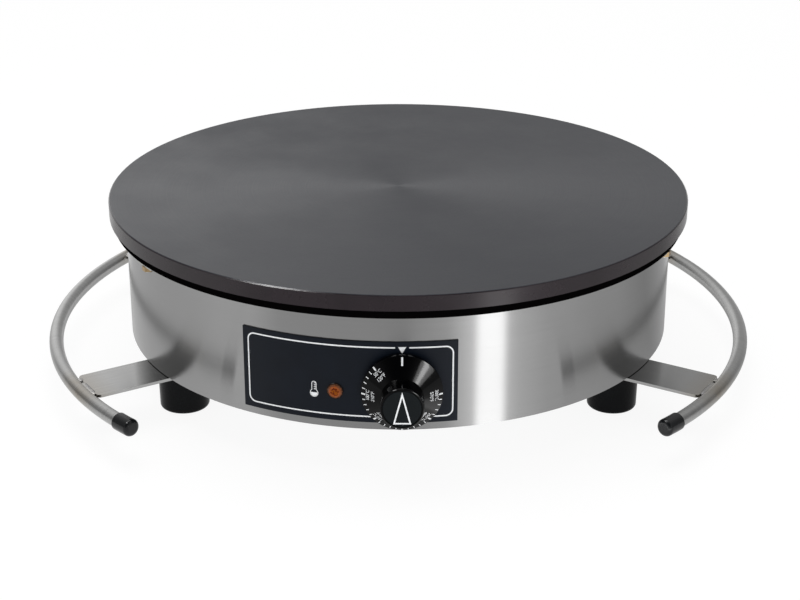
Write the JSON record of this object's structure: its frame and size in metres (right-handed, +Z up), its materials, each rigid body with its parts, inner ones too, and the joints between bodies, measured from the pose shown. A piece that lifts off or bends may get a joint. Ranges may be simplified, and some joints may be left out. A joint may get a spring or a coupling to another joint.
{
  "type": "electric crepe maker",
  "caption": "Round countertop griddle: a flat cast plate on a brushed steel drum with bar handles, a thermostat knob, a pilot lamp and levelling feet.",
  "frame": {"origin": "on the floor, at the centre of the part's outline, which is under the centre of the plate", "axes": "+Z up through the plate's centre, -Y to the front with the knob, +X to the right handle"},
  "size_m": [0.4932, 0.4381, 0.126],
  "materials": {
    "griddle_iron": "machined, seasoned cooking face with fine turned rings",
    "housing_steel": "stainless sheet, brushed round the drum",
    "strip_steel": "stainless flat bar, brushed along its length",
    "tube_steel": "stainless tube, fine brushed",
    "base_steel": "plain rolled sheet",
    "plated_steel": "bright zinc plate",
    "brass": "turned brass, slightly dulled",
    "cap_black": "soft black vinyl, satin",
    "foot_black": "black moulded rubber, satin",
    "fascia_black": "satin black film with printed pale lines",
    "knob_black": "glossy black thermoset with printed scale",
    "thermostat_case": "pale moulded insulating case",
    "copper": "drawn copper, dulled",
    "amber_lens": "clear amber moulding with facets",
    "element_sheath": "heat-tinted element sheath",
    "reflector_foil": "bright foil sheet",
    "insulation_fibre": "ceramic fibre blanket",
    "gland_black": "black nylon",
    "wire_sleeve": "silicone sleeve"
  },
  "bodies": {
    "cooker": {"griddle_plate": "griddle_iron", "plate_studs": "plated_steel", "plate_lugs": "plated_steel", "brass_nuts": "brass", "housing_shell": "housing_steel", "base_plate": "base_steel", "base_tabs": "plated_steel", "m4_screws": "plated_steel", "handle_strip_front_left": "strip_steel", "handle_strip_front_right": "strip_steel", "handle_strip_rear_left": "strip_steel", "handle_strip_rear_right": "strip_steel", "handle_tube_left": "tube_steel", "handle_tube_right": "tube_steel", "end_cap_front_left": "cap_black", "end_cap_front_right": "cap_black", "end_cap_rear_left": "cap_black", "end_cap_rear_right": "cap_black", "foot_nuts": "plated_steel", "fascia_panel": "fascia_black", "thermostat_body": "thermostat_case", "thermostat_nut": "plated_steel", "thermostat_bracket": "plated_steel", "sensor_rod": "copper", "sensor_clip": "plated_steel", "capillary_tube": "copper", "pilot_lens": "amber_lens", "pilot_lamp_body": "thermostat_case", "pilot_lamp_clip": "plated_steel", "heating_element_outer": "element_sheath", "heating_element_middle": "element_sheath", "heating_element_inner": "element_sheath", "element_links": "copper", "clamp_bars": "plated_steel", "clamp_studs": "plated_steel", "clamp_nuts": "plated_steel", "heat_reflector": "reflector_foil", "insulation_blanket": "insulation_fibre", "insulation_tray": "base_steel", "tray_pillars": "plated_steel", "cable_gland_body": "gland_black", "cable_gland_cap": "gland_black", "cable_gland_nut": "gland_black", "terminal_block": "thermostat_case", "earth_stud": "plated_steel", "mains_wires": "wire_sleeve", "control_wires": "wire_sleeve"},
    "control_knob": {"knob": "knob_black", "knob_disc": "knob_black", "thermostat_spindle": "plated_steel"},
    "leveller_front_left": {"foot_front_left": "foot_black", "foot_stud_front_left": "plated_steel"},
    "leveller_front_right": {"foot_front_right": "foot_black", "foot_stud_front_right": "plated_steel"},
    "leveller_rear_left": {"foot_rear_left": "foot_black", "foot_stud_rear_left": "plated_steel"},
    "leveller_rear_right": {"foot_rear_right": "foot_black", "foot_stud_rear_right": "plated_steel"}
  },
  "joints": [
    {"name": "knob_turn", "type": "hinge", "parent": "cooker", "child": "control_knob", "pos_m": [0.0025, -0.206, 0.06], "axis": [0, 1, 0], "range_deg": [0, 270]},
    {"name": "front_left_foot_height", "type": "slide", "parent": "cooker", "child": "leveller_front_left", "axis": [0, 0, -1], "range_m": [0, 0.008]},
    {"name": "front_right_foot_height", "type": "slide", "parent": "cooker", "child": "leveller_front_right", "axis": [0, 0, -1], "range_m": [0, 0.008]},
    {"name": "rear_left_foot_height", "type": "slide", "parent": "cooker", "child": "leveller_rear_left", "axis": [0, 0, -1], "range_m": [0, 0.008]},
    {"name": "rear_right_foot_height", "type": "slide", "parent": "cooker", "child": "leveller_rear_right", "axis": [0, 0, -1], "range_m": [0, 0.008]}
  ]
}
